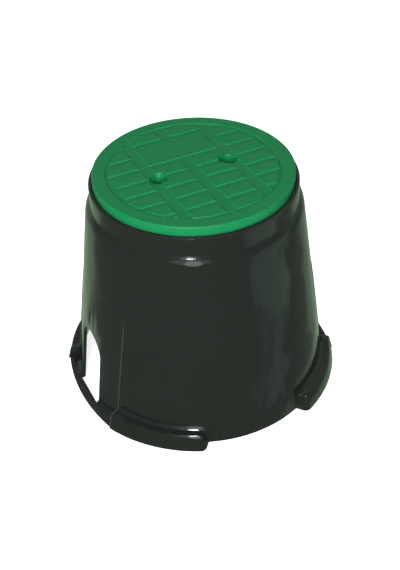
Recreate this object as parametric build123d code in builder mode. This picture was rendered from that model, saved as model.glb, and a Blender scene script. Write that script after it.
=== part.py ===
from build123d import *
from math import cos, radians, sin
import os

# Round irrigation valve box: a black moulded body, open below, and a green drop-in lid.
# The origin is on the ground under the middle of the box. X runs through both pipe slots.

# Body shell
body_height = 220.2
base_radius = 127.0
shoulder_step = 5.0
shoulder_rise = 10.3
neck_length = 18.9
neck_draft = 0.4
wall = 4.0

# Rim and the seat that the lid drops on
lip_thickness = 3.1
lip_chamfer = 0.8
seat_depth = 8.0
seat_width = 8.0
seat_thickness = 4.0

# Four hollow feet, a pair beside each pipe slot, set out by angles from the X axis
foot_radius = 138.6
foot_height = 16.2
foot_start = 24.4
foot_end = 66.2
foot_root = 110.0
foot_root_flare = 4.4
foot_corner = 6.5
foot_draft = 14.5
crown_height = 1.8
crown_slope = 39.0
cove_rise = 2.8
cove_run = 2.3

# Flange that ties the base together outside each pipe slot
flange_reach = 133.6
flange_end_setback = 0.8
flange_thickness = 3.0
flange_web = 4.0
flange_overlap = 1.0
tie_width = 8.1

# Arched pipe slots on opposite sides
slot_width = 44.0
slot_height = 79.0

# Shallow step that the sliding part of the mould leaves round each slot
slide_height = 150.0
slide_step = 0.9

# Lid
lid_radius = 93.5
lid_play = 0.6
lid_height = 16.8
lid_plate = 4.2
lid_skirt = 3.0
lid_edge_chamfer = 1.2
lid_foot_chamfer = 0.8

# Raised tread on the lid, with one plain panel
tread_height = 1.3
tread_bevel = 42.0
border_width = 12.0
border_gap = 2.0
pad_pitch_x = 39.8
pad_pitch_y = 19.75
pad_gap_x = 8.6
pad_gap_y = 4.4
columns_each_side = 2
rows_each_side = 4
panel_first_row = 1
panel_rows = 2
panel_frame = 2.6
panel_recess = 0.5

# Finger holes, with a tube under each
hole_spacing = 70.4
hole_top_radius = 9.0
hole_radius = 5.8
hole_cone_angle = 40.0
tube_wall = 3.6

# Stiffening ribs under the lid
rib_count = 8
rib_thickness = 2.4
rib_depth = 7.0
hub_radius = 14.0
ring_rib_radius = 60.0

# Sizes that follow from the ones above
lip_inner_radius = lid_radius + lid_play
lip_outer_radius = lip_inner_radius + lip_thickness
neck_radius = lip_outer_radius + neck_draft
neck_height = body_height - neck_length
shoulder_radius = neck_radius + shoulder_step
shoulder_height = neck_height - shoulder_rise
cone_slope = (base_radius - shoulder_radius) / shoulder_height
seat_inner_radius = lid_radius - seat_width
seat_top = body_height - seat_depth
seat_bottom = seat_top - seat_thickness
pocket_height = foot_height - wall
cove_top = foot_height + cove_rise
slide_width = 2 * (base_radius - cone_slope * cove_top) * sin(radians(foot_start))
flange_end_radius = foot_radius - flange_end_setback
flange_end_angle = foot_start + flange_overlap
lid_top = seat_top + lid_height
field_top = lid_top - tread_height
plate_bottom = field_top - lid_plate
lid_core_radius = lid_radius - lid_skirt
border_reach = lid_radius - border_width
tread_reach = border_reach - border_gap
rib_bottom = plate_bottom - rib_depth
core = base_radius / 2


def cone_radius(height):
    # Outside radius of the tapered wall at a height
    return base_radius - cone_slope * height


def slide_radius(height):
    # The same inside the stepped area, where the step fades out towards its top
    return cone_radius(height) - slide_step * (1 - height / slide_height)


def turned(angle):
    # Upright plane through the Z axis whose x axis points out at an angle
    out_x = cos(radians(angle))
    out_y = sin(radians(angle))
    return Plane((0, 0, 0), x_dir=(out_x, out_y, 0), z_dir=(out_y, -out_x, 0))


# Plan of a pair of feet: their outer edge, and ends that flare out towards the wall
foot_tip = (foot_radius * cos(radians(foot_end)), foot_radius * sin(radians(foot_end)))
foot_heel = (
    foot_root * cos(radians(foot_end + foot_root_flare)),
    foot_root * sin(radians(foot_end + foot_root_flare)),
)
with BuildSketch(Plane.XY) as foot_plan:
    with BuildLine():
        ThreePointArc((foot_tip[0], -foot_tip[1]), (foot_radius, 0), foot_tip)
        Polyline(foot_tip, foot_heel, (foot_heel[0], -foot_heel[1]), (foot_tip[0], -foot_tip[1]))
    make_face()

# Room between the two feet of a pair, where the sliding part of the mould closes
with BuildSketch(Plane.XY) as slide_room:
    with BuildLine():
        room_x = 2 * foot_radius * cos(radians(foot_start))
        room_y = 2 * foot_radius * sin(radians(foot_start))
        Polyline((0, 0), (room_x, -room_y), (room_x, room_y), close=True)
    make_face()

# Pair of feet: a drafted ledge with a bevelled crown, and a sloped cove between it and the wall
with BuildPart() as feet:
    with BuildSketch(Plane.XY) as feet_outline:
        add(foot_plan.sketch)
        fillet(feet_outline.vertices().group_by(SortBy.DISTANCE)[-1], foot_corner)
    extrude(amount=foot_height - crown_height, taper=foot_draft)
    extrude(feet.faces().sort_by(Axis.Z)[-1], amount=crown_height, taper=crown_slope)
    with BuildSketch(turned(-foot_end)):
        with BuildLine():
            Polyline(
                (core, cove_top),
                (core, foot_height - crown_height),
                (cone_radius(cove_top) + cove_run, foot_height - crown_height),
                (cone_radius(cove_top) + cove_run, foot_height),
                (cone_radius(cove_top), cove_top),
                close=True,
            )
        make_face()
    revolve(axis=Axis.Z, revolution_arc=2 * foot_end)
    add(slide_room.sketch)
    extrude(amount=cove_top, mode=Mode.SUBTRACT)

# Hollow in the underside of a pair of feet
with BuildPart() as feet_pocket:
    with BuildSketch(Plane.XY):
        add(foot_plan.sketch)
        offset(amount=-wall)
    extrude(amount=pocket_height, taper=foot_draft)
    with BuildSketch(Plane.XY):
        add(slide_room.sketch)
        offset(amount=wall, kind=Kind.INTERSECTION)
    extrude(amount=pocket_height, mode=Mode.SUBTRACT)

# Thin shaving that the sliding part of the mould takes off the wall round each slot
with BuildPart() as slide_cut:
    with BuildSketch(Plane.XZ):
        with BuildLine():
            Polyline(
                (slide_radius(0), 0),
                (base_radius + wall, 0),
                (cone_radius(slide_height) + wall, slide_height),
                (cone_radius(slide_height), slide_height),
                close=True,
            )
        make_face()
    revolve(axis=Axis.Z)
    with BuildSketch(Plane.XY):
        Rectangle(4 * base_radius, slide_width)
    extrude(amount=slide_height, mode=Mode.INTERSECT)

# Sloped web between the wall and the flange, on the slot side
web_top = flange_thickness + flange_web
web_sweep = 2 * flange_end_angle
with BuildPart() as slot_web:
    with BuildSketch(turned(-web_sweep / 2)):
        with BuildLine():
            Polyline(
                (core, web_top),
                (core, 0),
                (slide_radius(web_top) + flange_web, 0),
                (slide_radius(web_top) + flange_web, flange_thickness),
                (slide_radius(web_top), web_top),
                close=True,
            )
        make_face()
    revolve(axis=Axis.Z, revolution_arc=web_sweep)

# Body: tapered shell with a rounded shoulder, a short neck and a rim
with BuildPart() as body:
    with BuildSketch(Plane.XZ) as shell_section:
        with BuildLine():
            Polyline((0, body_height), (0, 0), (base_radius, 0), (shoulder_radius, shoulder_height))
            TangentArc(
                (shoulder_radius, shoulder_height),
                (neck_radius, neck_height),
                tangent=(-cone_slope, 1),
            )
            Polyline((neck_radius, neck_height), (lip_outer_radius, body_height), (0, body_height))
        make_face()
        chamfer(shell_section.vertices().sort_by_distance((lip_outer_radius, body_height))[0], lip_chamfer)
    revolve(axis=Axis.Z)
    add(slide_cut.part, mode=Mode.SUBTRACT)

    # Feet, flanges and their webs
    with PolarLocations(0, 2):
        add(feet.part)
        add(slot_web.part)
    with BuildSketch(Plane.XY):
        with BuildLine():
            end_x = flange_end_radius * cos(radians(flange_end_angle))
            end_y = flange_end_radius * sin(radians(flange_end_angle))
            ThreePointArc((end_x, -end_y), (flange_reach, 0), (end_x, end_y))
            Polyline((end_x, end_y), (core, end_y), (core, -end_y), (end_x, -end_y))
        make_face()
        mirror(about=Plane.YZ)
    extrude(amount=flange_thickness)

    # Inside of the shell, with the seat for the lid
    with BuildSketch(Plane.XZ):
        with BuildLine():
            Polyline(
                (0, 0),
                (base_radius - wall, 0),
                (shoulder_radius - wall, shoulder_height),
                (neck_radius - wall, neck_height),
                (neck_radius - wall, seat_bottom),
                (seat_inner_radius, seat_bottom),
                (seat_inner_radius, seat_top),
                (lip_inner_radius, seat_top),
                (lip_inner_radius, body_height),
                (0, body_height),
                close=True,
            )
        make_face()
    revolve(axis=Axis.Z, mode=Mode.SUBTRACT)
    with PolarLocations(0, 2):
        add(feet_pocket.part, mode=Mode.SUBTRACT)

    # Arched pipe slots, closed below only by the thin tie of the flange
    arch_centre = slot_height - slot_width / 2
    with BuildSketch(Plane.YZ):
        with Locations((0, arch_centre)):
            Circle(slot_width / 2)
        with Locations((0, (arch_centre + flange_thickness) / 2)):
            Rectangle(slot_width, arch_centre - flange_thickness)
    extrude(amount=2 * base_radius, both=True, mode=Mode.SUBTRACT)
    with BuildSketch(Plane.XY):
        Rectangle(2 * (flange_reach - tie_width), slot_width)
    extrude(amount=flange_thickness, mode=Mode.SUBTRACT)

# Tread pads in straight rows, cut off at the round border, with the plain panel among them
panel_width = 2 * pad_pitch_x - pad_gap_x
panel_height = panel_rows * pad_pitch_y - pad_gap_y
panel_centre = (panel_first_row + panel_rows / 2) * pad_pitch_y
with BuildPart() as tread:
    with BuildSketch(Plane.XY.offset(field_top)):
        for row in range(-rows_each_side, rows_each_side):
            for column in range(-columns_each_side, columns_each_side):
                in_panel_rows = panel_first_row <= row < panel_first_row + panel_rows
                if in_panel_rows and column in (-1, 0):
                    continue
                with Locations(((column + 0.5) * pad_pitch_x, (row + 0.5) * pad_pitch_y)):
                    Rectangle(pad_pitch_x - pad_gap_x, pad_pitch_y - pad_gap_y)
        with Locations((0, panel_centre)):
            Rectangle(panel_width, panel_height)
    extrude(amount=tread_height, taper=tread_bevel)
    with BuildSketch(Plane.XY.offset(field_top)):
        Circle(tread_reach)
    extrude(amount=tread_height, taper=tread_bevel, mode=Mode.INTERSECT)

# Lid: a plate with a deep edge, ribbed underneath, that drops into the rim
with BuildPart() as lid:
    with BuildSketch(Plane.XZ) as lid_section:
        with BuildLine():
            Polyline(
                (0, plate_bottom),
                (0, field_top),
                (border_reach - tread_height, field_top),
                (border_reach, lid_top),
                (lid_radius, lid_top),
                (lid_radius, seat_top),
                (lid_core_radius, seat_top),
                (lid_core_radius, plate_bottom),
                close=True,
            )
        make_face()
        chamfer(lid_section.vertices().sort_by_distance((lid_radius, lid_top))[0], lid_edge_chamfer)
        chamfer(lid_section.vertices().sort_by_distance((lid_radius, seat_top))[0], lid_foot_chamfer)
    revolve(axis=Axis.Z)
    add(tread.part)
    with BuildSketch(Plane.XY.offset(lid_top)):
        with Locations((0, panel_centre)):
            Rectangle(panel_width - 2 * panel_frame, panel_height - 2 * panel_frame)
    extrude(amount=-panel_recess, mode=Mode.SUBTRACT)

    # Ribs, hub and ring under the plate
    with BuildSketch(Plane.XY.offset(rib_bottom)):
        for radius in (ring_rib_radius, hub_radius):
            Circle(radius + rib_thickness / 2)
            Circle(radius - rib_thickness / 2, mode=Mode.SUBTRACT)
        spoke_length = lid_core_radius + lid_skirt / 2 - hub_radius
        with PolarLocations(hub_radius + spoke_length / 2, rib_count, start_angle=180 / rib_count):
            Rectangle(spoke_length, rib_thickness)
    extrude(amount=rib_depth + lid_plate / 2)

    # Tubes and the finger holes through them
    with BuildSketch(Plane.XY.offset(rib_bottom)):
        with GridLocations(hole_spacing, 0, 2, 1):
            Circle(hole_radius + tube_wall)
    extrude(amount=rib_depth + lid_plate / 2)
    with Locations(Plane.XY.offset(lid_top)):
        with GridLocations(hole_spacing, 0, 2, 1):
            CounterSinkHole(hole_radius, hole_top_radius, counter_sink_angle=hole_cone_angle)

os.makedirs("parts", exist_ok=True)
body.part.label = "body"
export_step(body.part, "parts/body.step")
lid.part.label = "lid"
export_step(lid.part, "parts/lid.step")
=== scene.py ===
import bmesh
import bpy
import math
from mathutils import Matrix, Vector


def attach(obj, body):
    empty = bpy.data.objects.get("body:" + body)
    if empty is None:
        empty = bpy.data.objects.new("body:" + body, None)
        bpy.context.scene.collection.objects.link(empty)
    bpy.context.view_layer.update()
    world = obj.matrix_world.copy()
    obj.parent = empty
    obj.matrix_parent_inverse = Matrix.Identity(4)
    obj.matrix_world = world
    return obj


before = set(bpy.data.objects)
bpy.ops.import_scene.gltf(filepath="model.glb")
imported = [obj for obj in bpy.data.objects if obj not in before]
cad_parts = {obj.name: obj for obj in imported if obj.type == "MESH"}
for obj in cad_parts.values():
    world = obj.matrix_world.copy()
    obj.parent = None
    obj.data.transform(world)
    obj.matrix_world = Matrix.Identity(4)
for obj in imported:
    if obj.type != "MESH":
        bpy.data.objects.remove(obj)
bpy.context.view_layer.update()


def addSocket(group, name, inOut, kind, value=None):
    socket = group.interface.new_socket(name=name, in_out=inOut, socket_type=kind)
    if value is not None:
        socket.default_value = value


def addNode(tree, kind, x, y, **values):
    node = tree.nodes.new(kind)
    node.location = (x, y)
    for name, value in values.items():
        setattr(node, name, value)
    return node


def addRange(tree, x, y, start, end):
    # Maps start to end onto 0 to 1, also where start is the larger
    node = addNode(tree, "ShaderNodeMapRange", x, y)
    node.inputs["From Min"].default_value = start
    node.inputs["From Max"].default_value = end
    return node


def addMix(tree, x, y, colourA=None, colourB=None):
    node = addNode(tree, "ShaderNodeMix", x, y, data_type="RGBA")
    for name, colour in (("A", colourA), ("B", colourB)):
        if colour is not None:
            node.inputs[name].default_value = (*colour, 1)
    return node


def join(tree, source, output, target, socket):
    tree.links.new(source.outputs[output], target.inputs[socket])


# The photograph is 400 by 570 pixels, and shows the box from its front left and above. The place
# is in metres and the angles are in degrees
photoCamera = {
    "place": (-0.3240, -0.7108, 0.7216),
    "heading": -24.66,
    "tilt": 51.10,
    "roll": -2.09,
    "focalPixels": 1004.5,
    "imageWidth": 400,
}

camera = bpy.data.objects.new("camera", bpy.data.cameras.new("camera"))
camera.data.sensor_fit = "HORIZONTAL"
camera.data.lens = camera.data.sensor_width * photoCamera["focalPixels"] / photoCamera["imageWidth"]
heading = Matrix.Rotation(math.radians(photoCamera["heading"]), 4, "Z")
tilt = Matrix.Rotation(math.radians(photoCamera["tilt"]), 4, "X")
roll = Matrix.Rotation(math.radians(photoCamera["roll"]), 4, "Z")
camera.matrix_world = Matrix.Translation(photoCamera["place"]) @ heading @ tilt @ roll
bpy.context.scene.collection.objects.link(camera)
bpy.context.scene.camera = camera
print("camera set")

# What every moulded plastic shares: waves along the draw, fine grain, patches of colour and gloss
mouldedNoise = {
    "drawDetail": 3.0,
    "drawRoughness": 0.55,
    "grainDetail": 2.0,
    "patchScale": 14.0,
    "patchDetail": 5.0,
    "patchRoughness": 0.6,
    "glossFrom": 0.3,
    "glossTo": 0.7,
}


def buildMouldedSurface():
    group = bpy.data.node_groups.new("mouldedSurface", "ShaderNodeTree")
    for name in ("Draw Scale", "Draw Stretch", "Draw Height", "Grain Scale", "Grain Height"):
        addSocket(group, name, "INPUT", "NodeSocketFloat")
    for name in ("Height", "Patches"):
        addSocket(group, name, "OUTPUT", "NodeSocketFloat")
    source = addNode(group, "NodeGroupInput", -1100, 0)
    result = addNode(group, "NodeGroupOutput", 500, 0)
    coords = addNode(group, "ShaderNodeTexCoord", -1100, -300)
    stretch = addNode(group, "ShaderNodeCombineXYZ", -900, 0)
    stretch.inputs["X"].default_value = 1.0
    stretch.inputs["Y"].default_value = 1.0
    squeezed = addNode(group, "ShaderNodeVectorMath", -700, 0, operation="MULTIPLY")
    drawNoise = addNode(group, "ShaderNodeTexNoise", -480, 120)
    drawNoise.inputs["Detail"].default_value = mouldedNoise["drawDetail"]
    drawNoise.inputs["Roughness"].default_value = mouldedNoise["drawRoughness"]
    grainNoise = addNode(group, "ShaderNodeTexNoise", -480, -150)
    grainNoise.inputs["Detail"].default_value = mouldedNoise["grainDetail"]
    patchNoise = addNode(group, "ShaderNodeTexNoise", -480, -420)
    patchNoise.inputs["Scale"].default_value = mouldedNoise["patchScale"]
    patchNoise.inputs["Detail"].default_value = mouldedNoise["patchDetail"]
    patchNoise.inputs["Roughness"].default_value = mouldedNoise["patchRoughness"]
    drawHeight = addNode(group, "ShaderNodeMath", -200, 120, operation="MULTIPLY")
    height = addNode(group, "ShaderNodeMath", 60, 40, operation="MULTIPLY_ADD")
    join(group, source, "Draw Stretch", stretch, "Z")
    join(group, coords, "Object", squeezed, 0)
    join(group, stretch, "Vector", squeezed, 1)
    join(group, squeezed, "Vector", drawNoise, "Vector")
    join(group, source, "Draw Scale", drawNoise, "Scale")
    join(group, coords, "Object", grainNoise, "Vector")
    join(group, source, "Grain Scale", grainNoise, "Scale")
    join(group, coords, "Object", patchNoise, "Vector")
    join(group, drawNoise, "Fac", drawHeight, 0)
    join(group, source, "Draw Height", drawHeight, 1)
    join(group, grainNoise, "Fac", height, 0)
    join(group, source, "Grain Height", height, 1)
    join(group, drawHeight, "Value", height, 2)
    join(group, height, "Value", result, "Height")
    join(group, patchNoise, "Fac", result, "Patches")
    return group


# A trace of dust on faces that look up, thicker in patches. There is none where the normal's Z
# is below the first value, and all of it above the second
dustFall = {
    "noneBelow": 0.35,
    "fullAbove": 0.95,
    "speckScale": 70.0,
    "speckDetail": 8.0,
    "speckRoughness": 0.72,
    "specksFrom": 0.42,
    "specksTo": 0.72,
}


def buildSettledDust():
    group = bpy.data.node_groups.new("settledDust", "ShaderNodeTree")
    addSocket(group, "Amount", "INPUT", "NodeSocketFloat")
    addSocket(group, "Mask", "OUTPUT", "NodeSocketFloat")
    source = addNode(group, "NodeGroupInput", -900, 0)
    result = addNode(group, "NodeGroupOutput", 500, 0)
    coords = addNode(group, "ShaderNodeTexCoord", -900, -250)
    geometry = addNode(group, "ShaderNodeNewGeometry", -900, 220)
    facing = addNode(group, "ShaderNodeSeparateXYZ", -700, 220)
    upward = addRange(group, -480, 220, dustFall["noneBelow"], dustFall["fullAbove"])
    specks = addNode(group, "ShaderNodeTexNoise", -680, -250)
    specks.inputs["Scale"].default_value = dustFall["speckScale"]
    specks.inputs["Detail"].default_value = dustFall["speckDetail"]
    specks.inputs["Roughness"].default_value = dustFall["speckRoughness"]
    patchy = addRange(group, -460, -250, dustFall["specksFrom"], dustFall["specksTo"])
    both = addNode(group, "ShaderNodeMath", -200, 0, operation="MULTIPLY")
    mask = addNode(group, "ShaderNodeMath", 60, 0, operation="MULTIPLY")
    join(group, geometry, "Normal", facing, "Vector")
    join(group, facing, "Z", upward, "Value")
    join(group, coords, "Object", specks, "Vector")
    join(group, specks, "Fac", patchy, "Value")
    join(group, upward, "Result", both, 0)
    join(group, patchy, "Result", both, 1)
    join(group, both, "Value", mask, 0)
    join(group, source, "Amount", mask, 1)
    join(group, mask, "Value", result, "Mask")
    return group


def buildPlastic(name, finish):
    # One moulded plastic: colour drifts a little, gloss is patchy, dust lies on top
    material = bpy.data.materials.new(name)
    material.use_nodes = True
    tree = material.node_tree
    tree.nodes.clear()
    output = addNode(tree, "ShaderNodeOutputMaterial", 900, 0)
    shader = addNode(tree, "ShaderNodeBsdfPrincipled", 600, 0)
    shader.inputs["Specular IOR Level"].default_value = finish["specular"]
    surface = addNode(tree, "ShaderNodeGroup", -500, 0, node_tree=mouldedSurface)
    surface.inputs["Draw Scale"].default_value = finish["drawScale"]
    surface.inputs["Draw Stretch"].default_value = finish["drawStretch"]
    surface.inputs["Draw Height"].default_value = finish["drawHeight"]
    surface.inputs["Grain Scale"].default_value = finish["grainScale"]
    surface.inputs["Grain Height"].default_value = finish["grainHeight"]
    dust = addNode(tree, "ShaderNodeGroup", -500, 300, node_tree=settledDust)
    dust.inputs["Amount"].default_value = finish["dustAmount"]
    drift = addMix(tree, -200, 200, finish["colour"], finish["paleColour"])
    dusty = addMix(tree, 100, 260, colourB=finish["dustColour"])
    gloss = addRange(tree, 100, -40, mouldedNoise["glossFrom"], mouldedNoise["glossTo"])
    gloss.inputs["To Min"].default_value = finish["roughness"] - finish["roughSpread"] / 2
    gloss.inputs["To Max"].default_value = finish["roughness"] + finish["roughSpread"] / 2
    bump = addNode(tree, "ShaderNodeBump", 100, -320)
    bump.inputs["Distance"].default_value = 1.0  # the heights are in metres
    join(tree, surface, "Patches", drift, "Factor")
    join(tree, dust, "Mask", dusty, "Factor")
    join(tree, drift, "Result", dusty, "A")
    join(tree, dusty, "Result", shader, "Base Color")
    join(tree, surface, "Patches", gloss, "Value")
    join(tree, gloss, "Result", shader, "Roughness")
    join(tree, surface, "Height", bump, "Height")
    join(tree, bump, "Normal", shader, "Normal")
    join(tree, shader, "BSDF", output, "Surface")
    return material


mouldedSurface = buildMouldedSurface()
settledDust = buildSettledDust()

# How the CAD faces are joined and their edges broken, with lengths in metres and angles in degrees
edgeFinish = {
    "joinDistance": 0.000002,
    "flatAngle": 0.4,
    "creaseAngle": 28,
    "bevelSegments": 2,
    "faceWeight": 50,
}


def buildSoftEdges():
    # Shades everything under the crease angle as one smooth surface
    group = bpy.data.node_groups.new("softEdges", "GeometryNodeTree")
    group.is_modifier = True
    addSocket(group, "Geometry", "INPUT", "NodeSocketGeometry")
    addSocket(group, "Crease", "INPUT", "NodeSocketFloat", math.radians(edgeFinish["creaseAngle"]))
    addSocket(group, "Geometry", "OUTPUT", "NodeSocketGeometry")
    source = addNode(group, "NodeGroupInput", -700, 0)
    result = addNode(group, "NodeGroupOutput", 500, 0)
    smooth = addNode(group, "GeometryNodeSetShadeSmooth", -300, 0, domain="FACE")
    angle = addNode(group, "GeometryNodeInputMeshEdgeAngle", -500, -250)
    crease = addNode(group, "FunctionNodeCompare", -300, -250, data_type="FLOAT", operation="LESS_EQUAL")
    edges = addNode(group, "GeometryNodeSetShadeSmooth", 100, 0, domain="EDGE")
    join(group, source, "Geometry", smooth, "Geometry")
    join(group, smooth, "Geometry", edges, "Geometry")
    join(group, angle, "Unsigned Angle", crease, "A")
    join(group, source, "Crease", crease, "B")
    join(group, crease, "Result", edges, "Shade Smooth")
    join(group, edges, "Geometry", result, "Geometry")
    return group


def dressNode(node, material, finish):
    node.data.materials.clear()
    node.data.materials.append(material)
    weld = node.modifiers.new("joinTriangles", "WELD")
    weld.merge_threshold = edgeFinish["joinDistance"]
    clean = node.modifiers.new("flatFaces", "DECIMATE")
    clean.decimate_type = "DISSOLVE"
    clean.angle_limit = math.radians(edgeFinish["flatAngle"])
    bevel = node.modifiers.new("brokenEdges", "BEVEL")
    bevel.width = finish["edgeBevel"]
    bevel.segments = edgeFinish["bevelSegments"]
    bevel.limit_method = "ANGLE"
    bevel.angle_limit = math.radians(edgeFinish["creaseAngle"])
    bevel.harden_normals = False
    smooth = node.modifiers.new("softEdges", "NODES")
    smooth.node_group = softEdges
    if finish["flatShading"]:
        weighted = node.modifiers.new("flatShading", "WEIGHTED_NORMAL")
        weighted.keep_sharp = True
        weighted.weight = edgeFinish["faceWeight"]


softEdges = buildSoftEdges()

# Body: black, glossy, a little wavy along the draw of the mould
boxFinish = {
    "colour": (0.0074, 0.0094, 0.0076),
    "paleColour": (0.0095, 0.0118, 0.0098),
    "roughness": 0.11,
    "roughSpread": 0.06,
    "specular": 0.42,
    "drawScale": 55.0,
    "drawStretch": 0.13,
    "drawHeight": 0.00030,
    "grainScale": 900.0,
    "grainHeight": 0.000006,
    "dustColour": (0.19, 0.19, 0.17),
    "dustAmount": 0.03,
    "edgeBevel": 0.0004,
    "flatShading": False,
}

blackPlastic = buildPlastic("blackBoxPlastic", boxFinish)
dressNode(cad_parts["body"], blackPlastic, boxFinish)
print("body finished")

# Lid: green, satin, with crisp flat pads
lidFinish = {
    "colour": (0.0025, 0.165, 0.0505),
    "paleColour": (0.0028, 0.171, 0.0530),
    "roughness": 0.33,
    "roughSpread": 0.10,
    "specular": 0.30,
    "drawScale": 26.0,
    "drawStretch": 1.0,
    "drawHeight": 0.00004,
    "grainScale": 1400.0,
    "grainHeight": 0.000012,
    "dustColour": (0.20, 0.30, 0.20),
    "dustAmount": 0.03,
    "edgeBevel": 0.0003,
    "flatShading": True,
}

greenPlastic = buildPlastic("greenLidPlastic", lidFinish)
dressNode(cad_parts["lid"], greenPlastic, lidFinish)
print("lid finished")

# Flash lines where the slides of the mould closed beside each pipe slot, from the foot up the wall.
# Lengths are in metres, and the wall's stops are shares of the way from its cove to the top
flash = {
    "halfSpan": 0.0515,
    "thickness": 0.00065,
    "thinEnd": 0.35,
    "roundness": 3,
    "wallStops": (0.5, 0.8, 1.0),
    "top": 0.122,
    "wallFoot": 0.1270,
    "wallSlope": 0.1278,
    "coveTop": 0.0190,
    "coveReach": 0.0023,
    "ledge": 0.0162,
    "ledgeEdge": 0.1334,
    "crownFoot": 0.0144,
    "crownEdge": 0.1349,
    "footEdge": 0.1385,
    "ground": 0.0006,
}

# The same plastic as the box, paler and duller: partly the whitening of thin flash, partly a painted
# highlight along the slide edges where they catch the light
flashHighlightFinish = {
    **boxFinish,
    "colour": (0.022, 0.029, 0.023),
    "paleColour": (0.034, 0.042, 0.035),
    "roughness": 0.40,
}


def wallRadius(height):
    return flash["wallFoot"] - flash["wallSlope"] * height


def flashPath():
    # Up the foot's end, over its ledge and cove, then up the wall in a plane beside the slot
    reach = wallRadius(flash["coveTop"])
    turn = math.asin(flash["halfSpan"] / reach)
    rises = (
        (flash["footEdge"], flash["ground"]),
        (flash["crownEdge"], flash["crownFoot"]),
        (flash["ledgeEdge"], flash["ledge"]),
        (reach + flash["coveReach"], flash["ledge"]),
        (reach, flash["coveTop"]),
    )
    path = [(radius * math.cos(turn), radius * math.sin(turn), height) for radius, height in rises]
    for stop in flash["wallStops"]:
        height = flash["coveTop"] + stop * (flash["top"] - flash["coveTop"])
        outward = math.sqrt(wallRadius(height) ** 2 - flash["halfSpan"] ** 2)
        path.append((outward, flash["halfSpan"], height))
    return path


flashCurve = bpy.data.curves.new("flashLines", "CURVE")
flashCurve.dimensions = "3D"
flashCurve.bevel_depth = flash["thickness"]
flashCurve.bevel_resolution = flash["roundness"]
flashCurve.use_fill_caps = True
path = flashPath()
for alongX in (1, -1):
    for alongY in (1, -1):
        spline = flashCurve.splines.new("POLY")
        spline.points.add(len(path) - 1)
        for point, (x, y, z) in zip(spline.points, path):
            point.co = (alongX * x, alongY * y, z, 1)
        spline.points[-1].radius = flash["thinEnd"]
flashLines = bpy.data.objects.new("flashLines", flashCurve)
bpy.context.scene.collection.objects.link(flashLines)
# The flash plastic's paleness is partly a painted highlight
flashCurve.materials.append(buildPlastic("flashHighlightPlastic", flashHighlightFinish))
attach(flashLines, "box")
print("flash lines laid")

# The floor: white to the camera, and for glossy rays only it glows with cards that are painted
# reflections on the box
studioFloor = {
    "size": 12.0,
    "colour": (0.86, 0.86, 0.86),
    "glow": 0.80,
}

# Painted reflections: pale cards that the floor glows with for glossy rays only, round the near foot of
# the wall, showing as reflected patches and sheen on the box. They lie in three zones one behind the
# other, the further two with wavy sides. Places are in metres, and turns in degrees about the centre
paintedReflections = {
    "centre": (-0.021, -0.116, 0),
    "plain": (0.165, 0.200, 0.170),
    "waveScale": 14.0,
    "waveDetail": 1.0,
    "waveTurn": 44,
    "nearZone": {
        "sheet": {
            "from": -8, "to": 126, "soft": (3, 6),
            "colour": (0.37, 0.51, 0.37), "endColour": (0.40, 0.56, 0.38),
        },
    },
    "nearEnd": (0.150, 0.162),
    "midZone": {
        "greyCard": {
            "from": -51, "to": -39, "soft": (2, 2),
            "colour": (0.29, 0.34, 0.33), "endColour": (0.29, 0.34, 0.33),
        },
        "blueCard": {
            "from": -34, "to": -16, "soft": (2, 2),
            "colour": (0.32, 0.43, 0.42), "endColour": (0.32, 0.43, 0.42),
        },
        "sheet": {
            "from": 15, "to": 126, "soft": (2, 6),
            "colour": (0.26, 0.37, 0.26), "endColour": (0.40, 0.56, 0.38),
        },
    },
    "farAcross": (0.917, -0.400, 0),
    "farStart": (0.285, 0.297),
    "farZone": {
        "patch": {
            "from": -56, "to": -12, "soft": (2, 3),
            "colour": (0.42, 0.56, 0.52), "endColour": (0.42, 0.62, 0.46),
        },
        "sheet": {
            "from": 15, "to": 126, "soft": (3, 6),
            "colour": (0.26, 0.37, 0.26), "endColour": (0.40, 0.56, 0.38),
        },
    },
}


def addCards(tree, x, y, zone):
    # The painted reflection cards lie round the box in order of their turn, with soft sides on a plain
    # ground
    cards = addNode(tree, "ShaderNodeValToRGB", x, y)
    stops = cards.color_ramp.elements
    plain = (*paintedReflections["plain"], 1)
    first, last = stops
    first.position = 0.0
    first.color = plain
    last.position = 1.0
    last.color = plain
    for card in zone.values():
        colour = (*card["colour"], 1)
        endColour = (*card["endColour"], 1)
        softFrom, softTo = card["soft"]
        sides = (
            (card["from"] - softFrom, plain),
            (card["from"] + softFrom, colour),
            (card["to"] - softTo, endColour),
            (card["to"] + softTo, plain),
        )
        for turn, sideColour in sides:
            stops.new((turn + 180) / 360).color = sideColour
    return cards


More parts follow.
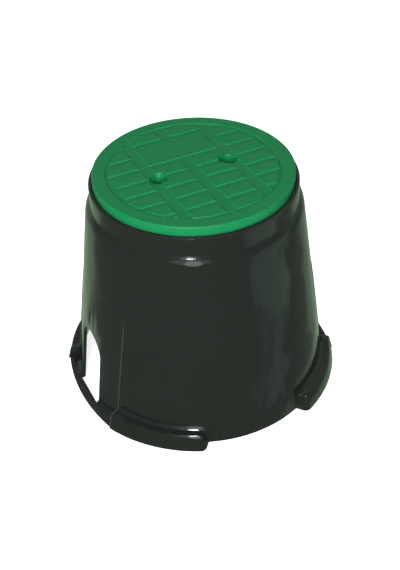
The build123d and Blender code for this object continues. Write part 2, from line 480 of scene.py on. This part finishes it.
def addPaintedReflections(tree, x, y):
    # The painted reflections' colour at each place on the floor, by its turn about the centre and its
    # zone
    place = addNode(tree, "ShaderNodeTexCoord", x, y)
    fromCentre = addNode(tree, "ShaderNodeVectorMath", x + 200, y, operation="SUBTRACT")
    fromCentre.inputs[1].default_value = paintedReflections["centre"]
    split = addNode(tree, "ShaderNodeSeparateXYZ", x + 360, y)
    turn = addNode(tree, "ShaderNodeMath", x + 520, y, operation="ARCTAN2")
    around = addRange(tree, x + 680, y, -math.pi, math.pi)
    waves = addNode(tree, "ShaderNodeTexNoise", x + 360, y + 240)
    waves.inputs["Scale"].default_value = paintedReflections["waveScale"]
    waves.inputs["Detail"].default_value = paintedReflections["waveDetail"]
    waveTurn = math.radians(paintedReflections["waveTurn"])
    wavyTurn = addNode(tree, "ShaderNodeMath", x + 520, y + 240, operation="MULTIPLY_ADD")
    wavyTurn.inputs[1].default_value = waveTurn
    wavyAround = addRange(tree, x + 680, y + 240, waveTurn / 2 - math.pi, waveTurn / 2 + math.pi)
    nearCards = addCards(tree, x + 840, y, paintedReflections["nearZone"])
    midCards = addCards(tree, x + 840, y - 240, paintedReflections["midZone"])
    farCards = addCards(tree, x + 840, y - 480, paintedReflections["farZone"])
    reach = addNode(tree, "ShaderNodeVectorMath", x + 360, y - 700, operation="LENGTH")
    pastNear = addRange(tree, x + 680, y - 700, *paintedReflections["nearEnd"])
    across = addNode(tree, "ShaderNodeVectorMath", x + 360, y - 950, operation="DOT_PRODUCT")
    across.inputs[1].default_value = paintedReflections["farAcross"]
    pastMid = addRange(tree, x + 680, y - 950, *paintedReflections["farStart"])
    nearToMid = addMix(tree, x + 1140, y - 240)
    midToFar = addMix(tree, x + 1140, y - 480)
    join(tree, place, "Object", fromCentre, 0)
    join(tree, fromCentre, "Vector", split, "Vector")
    join(tree, split, "Y", turn, 0)
    join(tree, split, "X", turn, 1)
    join(tree, turn, "Value", around, "Value")
    join(tree, place, "Object", waves, "Vector")
    join(tree, waves, "Fac", wavyTurn, 0)
    join(tree, turn, "Value", wavyTurn, 2)
    join(tree, wavyTurn, "Value", wavyAround, "Value")
    join(tree, around, "Result", nearCards, "Fac")
    join(tree, wavyAround, "Result", midCards, "Fac")
    join(tree, wavyAround, "Result", farCards, "Fac")
    join(tree, place, "Object", reach, 0)
    join(tree, reach, "Value", pastNear, "Value")
    join(tree, place, "Object", across, 0)
    join(tree, across, "Value", pastMid, "Value")
    join(tree, pastNear, "Result", nearToMid, "Factor")
    join(tree, nearCards, "Color", nearToMid, "A")
    join(tree, midCards, "Color", nearToMid, "B")
    join(tree, pastMid, "Result", midToFar, "Factor")
    join(tree, nearToMid, "Result", midToFar, "A")
    join(tree, farCards, "Color", midToFar, "B")
    return midToFar


def buildFloorPaint():
    # A matt floor that keeps the shadow, lifted to white for the camera, and glowing with painted
    # reflections for glossy and transmission rays
    paint = bpy.data.materials.new("paleFloor")
    paint.use_nodes = True
    tree = paint.node_tree
    tree.nodes.clear()
    output = addNode(tree, "ShaderNodeOutputMaterial", 900, 0)
    rays = addNode(tree, "ShaderNodeLightPath", -500, 0)
    matt = addNode(tree, "ShaderNodeBsdfDiffuse", 0, 200)
    matt.inputs["Color"].default_value = (*studioFloor["colour"], 1)
    glowStrength = addNode(tree, "ShaderNodeMath", -200, 50, operation="MULTIPLY")
    glowStrength.inputs[1].default_value = studioFloor["glow"]
    glow = addNode(tree, "ShaderNodeEmission", 0, 50)
    lifted = addNode(tree, "ShaderNodeAddShader", 300, 120)
    # Painted reflections: card patterns that the floor glows with for glossy rays only
    cards = addPaintedReflections(tree, -900, -300)
    mirrorGlow = addNode(tree, "ShaderNodeEmission", 400, -300)
    mirrorRays = addNode(tree, "ShaderNodeMath", 0, -100, operation="MAXIMUM")
    either = addNode(tree, "ShaderNodeMixShader", 600, 0)
    join(tree, rays, "Is Camera Ray", glowStrength, 0)
    join(tree, glowStrength, "Value", glow, "Strength")
    join(tree, matt, "BSDF", lifted, 0)
    join(tree, glow, "Emission", lifted, 1)
    join(tree, cards, "Result", mirrorGlow, "Color")
    join(tree, rays, "Is Glossy Ray", mirrorRays, 0)
    join(tree, rays, "Is Transmission Ray", mirrorRays, 1)
    join(tree, mirrorRays, "Value", either, "Fac")
    join(tree, lifted, "Shader", either, 1)
    join(tree, mirrorGlow, "Emission", either, 2)
    join(tree, either, "Shader", output, "Surface")
    return paint


floorMesh = bmesh.new()
bmesh.ops.create_grid(floorMesh, x_segments=1, y_segments=1, size=studioFloor["size"] / 2)
floorData = bpy.data.meshes.new("floor")
floorMesh.to_mesh(floorData)
floorMesh.free()
floorData.materials.append(buildFloorPaint())
floor = bpy.data.objects.new("floor", floorData)
bpy.context.scene.collection.objects.link(floor)
print("floor laid")

# The room is white to the camera, grey as soft light, and dim in the gloss, apart from a paler
# ceiling and a pale backdrop behind the box. Each pair says where its part begins and is whole:
# the side by the cosine of the turn from the backdrop's, the others by the sine of the elevation
studioRoom = {
    "seen": (1, 1, 1),
    "fill": (0.32, 0.32, 0.32),
    "wallMirror": (0.18, 0.205, 0.185),
    "ceilingMirror": (0.40, 0.43, 0.40),
    "ceilingRise": (0.60, 0.70),
    "backdropMirror": (0.30, 0.42, 0.29),
    "backdropTurn": 53,
    "backdropSide": (0.225, 0.358),
    "backdropTop": (0.64, 0.52),
}


def addMirroredRoom(tree, x, y):
    # The room's colour in the gloss, by the direction in which it is mirrored
    place = addNode(tree, "ShaderNodeTexCoord", x, y)
    split = addNode(tree, "ShaderNodeSeparateXYZ", x + 200, y - 150)
    level = addNode(tree, "ShaderNodeVectorMath", x + 200, y + 100, operation="MULTIPLY")
    level.inputs[1].default_value = (1, 1, 0)
    levelUnit = addNode(tree, "ShaderNodeVectorMath", x + 380, y + 100, operation="NORMALIZE")
    behind = addNode(tree, "ShaderNodeVectorMath", x + 560, y + 100, operation="DOT_PRODUCT")
    backdropTurn = math.radians(studioRoom["backdropTurn"])
    behind.inputs[1].default_value = (math.cos(backdropTurn), math.sin(backdropTurn), 0)
    sideMask = addRange(tree, x + 740, y + 100, *studioRoom["backdropSide"])
    topMask = addRange(tree, x + 740, y - 150, *studioRoom["backdropTop"])
    backdrop = addNode(tree, "ShaderNodeMath", x + 920, y, operation="MULTIPLY")
    overhead = addRange(tree, x + 740, y - 400, *studioRoom["ceilingRise"])
    ceiling = addMix(tree, x + 920, y - 250, studioRoom["wallMirror"], studioRoom["ceilingMirror"])
    mirrored = addMix(tree, x + 1100, y + 50, colourB=studioRoom["backdropMirror"])
    join(tree, place, "Generated", level, 0)
    join(tree, level, "Vector", levelUnit, 0)
    join(tree, levelUnit, "Vector", behind, 0)
    join(tree, behind, "Value", sideMask, "Value")
    join(tree, place, "Generated", split, "Vector")
    join(tree, split, "Z", topMask, "Value")
    join(tree, sideMask, "Result", backdrop, 0)
    join(tree, topMask, "Result", backdrop, 1)
    join(tree, split, "Z", overhead, "Value")
    join(tree, overhead, "Result", ceiling, "Factor")
    join(tree, backdrop, "Value", mirrored, "Factor")
    join(tree, ceiling, "Result", mirrored, "A")
    return mirrored


world = bpy.data.worlds.new("studioWorld")
bpy.context.scene.world = world
world.use_nodes = True
worldTree = world.node_tree
worldTree.nodes.clear()
worldOut = addNode(worldTree, "ShaderNodeOutputWorld", 600, 0)
worldLight = addNode(worldTree, "ShaderNodeBackground", 300, 0)
worldRays = addNode(worldTree, "ShaderNodeLightPath", -900, 300)
seenRays = addNode(worldTree, "ShaderNodeMath", -600, 300, operation="MAXIMUM")
mirroredWorld = addMirroredRoom(worldTree, -1300, -200)
unseen = addMix(worldTree, -20, -50, studioRoom["fill"])
worldColour = addMix(worldTree, 140, 50, colourB=studioRoom["seen"])
join(worldTree, worldRays, "Is Camera Ray", seenRays, 0)
join(worldTree, worldRays, "Is Transmission Ray", seenRays, 1)
join(worldTree, worldRays, "Is Glossy Ray", unseen, "Factor")
join(worldTree, mirroredWorld, "Result", unseen, "B")
join(worldTree, seenRays, "Value", worldColour, "Factor")
join(worldTree, unseen, "Result", worldColour, "A")
join(worldTree, worldColour, "Result", worldLight, "Color")
join(worldTree, worldLight, "Background", worldOut, "Surface")
print("room built")

# Lamps aim at the middle of the box, from angles in degrees and a distance in metres. The
# mirrored ones show in the gloss, the others only light
middle = Vector((0, 0, 0.12))
lampSettings = {
    "keySoft": {
        "azimuth": -126, "elevation": 22, "distance": 1.5, "wide": 0.7, "tall": 0.8,
        "watts": 20.5, "mirrored": False,
    },
    "keyCore": {
        "azimuth": -122.2, "elevation": 38.5, "distance": 3.2, "wide": 0.40, "tall": 0.30,
        "watts": 39.0, "mirrored": True,
    },
    "keyTail": {
        "azimuth": -118.2, "elevation": 13, "distance": 1.3, "wide": 0.40, "tall": 0.66,
        "watts": 1.9, "mirrored": True,
    },
    "keyWings": {
        "azimuth": -120, "elevation": 20, "distance": 1.3, "wide": 0.80, "tall": 0.7,
        "watts": 1.0, "mirrored": True,
    },
    "topFill": {
        "azimuth": -95, "elevation": 62, "distance": 2.0, "wide": 1.3, "tall": 1.3,
        "watts": 6.5, "mirrored": False,
    },
}


def addLamp(name, lamp):
    azimuth = math.radians(lamp["azimuth"])
    elevation = math.radians(lamp["elevation"])
    level = math.cos(elevation)
    outward = Vector((math.cos(azimuth) * level, math.sin(azimuth) * level, math.sin(elevation)))
    place = outward * lamp["distance"] + middle
    aim = (middle - place).to_track_quat("-Z", "Y").to_matrix().to_4x4()
    light = bpy.data.lights.new(name, "AREA")
    light.shape = "ELLIPSE"
    light.size = lamp["wide"]
    light.size_y = lamp["tall"]
    light.energy = lamp["watts"]
    lampObject = bpy.data.objects.new(name, light)
    lampObject.matrix_world = Matrix.Translation(place) @ aim
    lampObject.visible_glossy = lamp["mirrored"]
    bpy.context.scene.collection.objects.link(lampObject)


for lampName, lamp in lampSettings.items():
    addLamp(lampName, lamp)
print("lamps on")

bpy.context.scene.view_settings.view_transform = "Standard"

bpy.context.view_layer.update()
